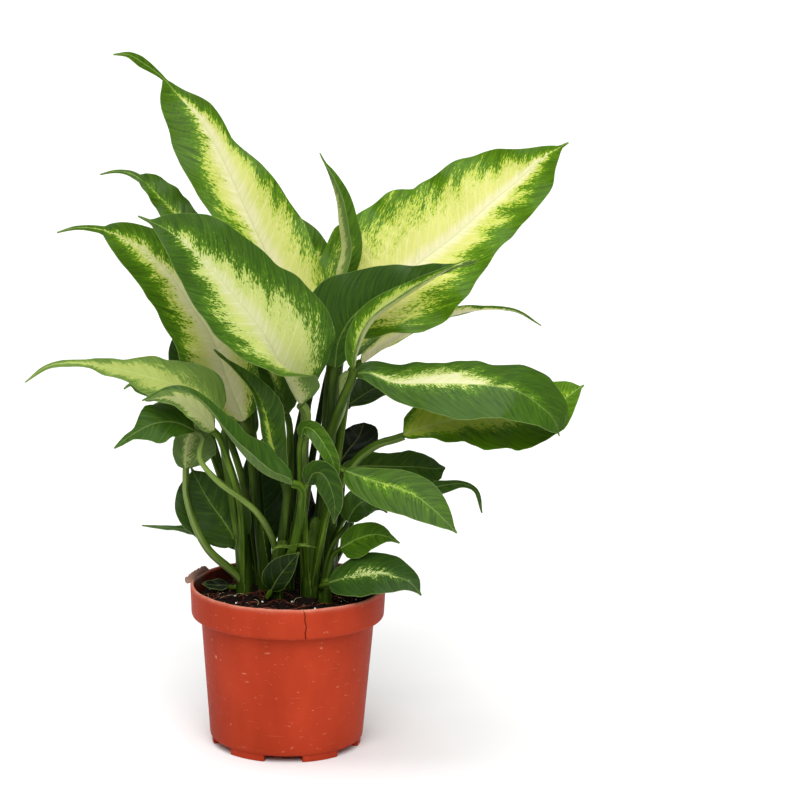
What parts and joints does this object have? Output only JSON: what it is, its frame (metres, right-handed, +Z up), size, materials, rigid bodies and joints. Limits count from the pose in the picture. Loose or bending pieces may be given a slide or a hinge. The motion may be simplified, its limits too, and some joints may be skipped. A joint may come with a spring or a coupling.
{
  "type": "potted dieffenbachia",
  "caption": "Young dieffenbachia with arching, waved, cream-centred green leaves on clasping stalks, in a tapered red plastic nursery pot with a wide rim band.",
  "frame": {"origin": "on the ground under the centre of the pot's floor", "axes": "+Z up along the pot's axis, -Y to the front of the plant as pictured, +X to its right"},
  "size_m": [0.335, 0.2087, 0.42],
  "materials": {
    "pot_plastic": "satin moulded terracotta-red plastic",
    "potting_soil": "dark damp crumbly potting soil",
    "leaf_stalk": "smooth satin green leaf stalk",
    "leaf_blade": "satin dark green blade with cream variegation"
  },
  "bodies": {
    "root": {"leaf_behind_left": "leaf_blade", "leaf_centre_dark": "leaf_blade", "leaf_centre_fold": "leaf_blade", "leaf_centre_long": "leaf_blade", "leaf_centre_small": "leaf_blade", "leaf_front_left": "leaf_blade", "leaf_left_arch": "leaf_blade", "leaf_left_back": "leaf_blade", "leaf_left_cream": "leaf_blade", "leaf_left_curl": "leaf_blade", "leaf_left_dark": "leaf_blade", "leaf_left_hanging": "leaf_blade", "leaf_left_long": "leaf_blade", "leaf_left_mid": "leaf_blade", "leaf_low_left": "leaf_blade", "leaf_low_left_spike": "leaf_blade", "leaf_low_right": "leaf_blade", "leaf_low_right_curl": "leaf_blade", "leaf_rear_left": "leaf_blade", "leaf_rear_left_tall": "leaf_blade", "leaf_rear_low_left": "leaf_blade", "leaf_rear_low_right": "leaf_blade", "leaf_rear_right": "leaf_blade", "leaf_rear_small": "leaf_blade", "leaf_rear_tall": "leaf_blade", "leaf_right_bright": "leaf_blade", "leaf_right_broad": "leaf_blade", "leaf_right_dark": "leaf_blade", "leaf_right_drooping": "leaf_blade", "leaf_right_inner": "leaf_blade", "leaf_right_pale": "leaf_blade", "leaf_right_round": "leaf_blade", "leaf_right_thin": "leaf_blade", "leaf_right_under": "leaf_blade", "leaf_rim_right": "leaf_blade", "leaf_soil_left": "leaf_blade", "leaf_soil_small": "leaf_blade", "leaf_spear": "leaf_blade", "leaf_top_back": "leaf_blade", "leaf_top_left": "leaf_blade", "leaf_top_right": "leaf_blade", "leaf_upper_left": "leaf_blade", "pot": "pot_plastic", "shoot_back": "leaf_stalk", "shoot_centre": "leaf_stalk", "shoot_front": "leaf_stalk", "shoot_inner": "leaf_stalk", "shoot_left": "leaf_stalk", "shoot_low": "leaf_stalk", "shoot_middle": "leaf_stalk", "shoot_outer": "leaf_stalk", "shoot_rear_left": "leaf_stalk", "shoot_rear_right": "leaf_stalk", "shoot_right": "leaf_stalk", "soil": "potting_soil"}
  },
  "joints": []
}
